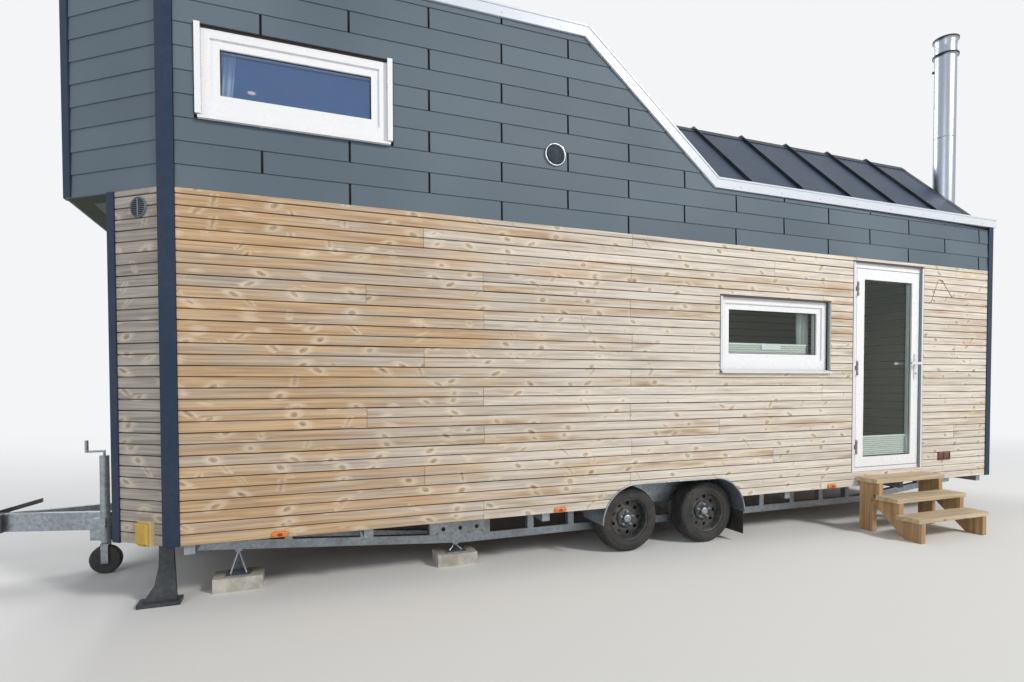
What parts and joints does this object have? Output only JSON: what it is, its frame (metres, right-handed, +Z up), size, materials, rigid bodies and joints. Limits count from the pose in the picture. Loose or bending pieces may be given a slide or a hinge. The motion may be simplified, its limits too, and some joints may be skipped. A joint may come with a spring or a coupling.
{
  "type": "tiny house on wheels",
  "caption": "Small timber house with a raised loft, slate upper storey and glazed door, on a braked two axle trailer with drawbar, jockey wheel, prop stands and wooden steps.",
  "frame": {"origin": "on the ground, under the middle of the whole footprint, from the coupling to the rear eave and from the steps to the far window sills", "axes": "+X from the coupling towards the rear, +Y from the door side towards the far side, +Z up"},
  "size_m": [9.4, 3.14, 5.05],
  "materials": {
    "underfloor_board": "oiled plywood",
    "weathered_boards": "rough sawn pine boards, weathered golden brown to silver",
    "anthracite_slate": "matte anthracite slates",
    "soffit_paint": "matte dark green grey",
    "roof_metal": "matte anthracite",
    "seam_roof_metal": "satin anthracite blue grey",
    "white_edging": "satin white",
    "corner_trim_metal": "satin grey blue",
    "white_frames": "satin white profile",
    "window_glass": "clear",
    "blind_fabric": "white pleated",
    "handle_steel": "satin steel",
    "vent_steel": "stainless with dark mesh",
    "flue_steel": "polished stainless",
    "socket_plastic": "weathered plastic",
    "lamp_amber": "amber lens",
    "galvanised_steel": "hot dip galvanised",
    "coupling_black": "satin black",
    "jockey_rubber": "solid rubber",
    "tyre_rubber": "road tyre",
    "rim_steel": "dark enamel",
    "flap_rubber": "matte",
    "prop_block_stone": "cast concrete",
    "leg_steel": "dark enamel",
    "fresh_pine": "fresh planed pine"
  },
  "bodies": {
    "root": {"floor": "underfloor_board", "near_wall_front": "weathered_boards", "near_wall_rear": "weathered_boards", "door_wall_infill": "weathered_boards", "far_wall_lower": "weathered_boards", "nose_wall_lower": "weathered_boards", "rear_wall": "weathered_boards", "near_wall_upper": "anthracite_slate", "far_wall_upper": "anthracite_slate", "nose_wall_upper": "anthracite_slate", "nose_soffit": "soffit_paint", "loft_roof_flat": "roof_metal", "loft_roof_slope": "roof_metal", "rear_ledge_roof": "roof_metal", "rear_roof_slopes": "seam_roof_metal", "rear_roof_top": "seam_roof_metal", "roof_end_panel": "seam_roof_metal", "side_fascias": "white_edging", "end_fascias": "white_edging", "corner_trims": "corner_trim_metal", "metal_linings": "corner_trim_metal", "loft_window_trims": "white_frames", "loft_window_frame": "white_frames", "low_window_frame": "white_frames", "far_window_frames": "white_frames", "door_frame": "white_frames", "loft_window_glass": "window_glass", "low_window_glass": "window_glass", "far_window_glass": "window_glass", "wall_vents": "vent_steel", "flue": "flue_steel", "socket_box": "socket_plastic", "marker_lamps": "lamp_amber", "side_beams": "galvanised_steel", "cross_members": "galvanised_steel", "drawbar": "galvanised_steel", "axles": "galvanised_steel", "mudguards": "galvanised_steel", "prop_stands": "galvanised_steel", "jockey_stand": "galvanised_steel", "overrun_coupling": "coupling_black", "mud_flaps": "flap_rubber", "prop_blocks": "prop_block_stone", "corner_legs": "leg_steel", "step_treads": "fresh_pine", "step_frame": "fresh_pine"},
    "door": {"door_leaf": "white_frames", "door_glass": "window_glass", "door_blind": "blind_fabric", "door_handle": "handle_steel"},
    "near_front_wheel": {"near_front_tyre": "tyre_rubber", "near_front_rim": "rim_steel"},
    "near_rear_wheel": {"near_rear_tyre": "tyre_rubber", "near_rear_rim": "rim_steel"},
    "far_front_wheel": {"far_front_tyre": "tyre_rubber", "far_front_rim": "rim_steel"},
    "far_rear_wheel": {"far_rear_tyre": "tyre_rubber", "far_rear_rim": "rim_steel"},
    "jockey_swivel_fork": {"jockey_fork": "galvanised_steel"},
    "jockey_roller": {"jockey_wheel": "jockey_rubber"}
  },
  "joints": [
    {"name": "door_hinge", "type": "hinge", "parent": "root", "child": "door", "pos_m": [2.763, -0.972, 1.5], "axis": [0, 0, -1], "range_deg": [0, 100]},
    {"name": "near_front_wheel_spin", "type": "hinge", "parent": "root", "child": "near_front_wheel", "pos_m": [0.388, -0.7975, 0.262], "axis": [0, 1, 0], "continuous": true},
    {"name": "near_rear_wheel_spin", "type": "hinge", "parent": "root", "child": "near_rear_wheel", "pos_m": [1.148, -0.7975, 0.262], "axis": [0, 1, 0], "continuous": true},
    {"name": "far_front_wheel_spin", "type": "hinge", "parent": "root", "child": "far_front_wheel", "pos_m": [0.388, 1.3575, 0.262], "axis": [0, 1, 0], "continuous": true},
    {"name": "far_rear_wheel_spin", "type": "hinge", "parent": "root", "child": "far_rear_wheel", "pos_m": [1.148, 1.3575, 0.262], "axis": [0, 1, 0], "continuous": true},
    {"name": "jockey_swivel", "type": "hinge", "parent": "root", "child": "jockey_swivel_fork", "pos_m": [-3.39, 0.0288, 0.21], "axis": [0, 0, 1], "continuous": true},
    {"name": "jockey_wheel_spin", "type": "hinge", "parent": "jockey_swivel_fork", "child": "jockey_roller", "pos_m": [-3.39, 0.0288, 0.1], "axis": [0, 1, 0], "continuous": true}
  ]
}
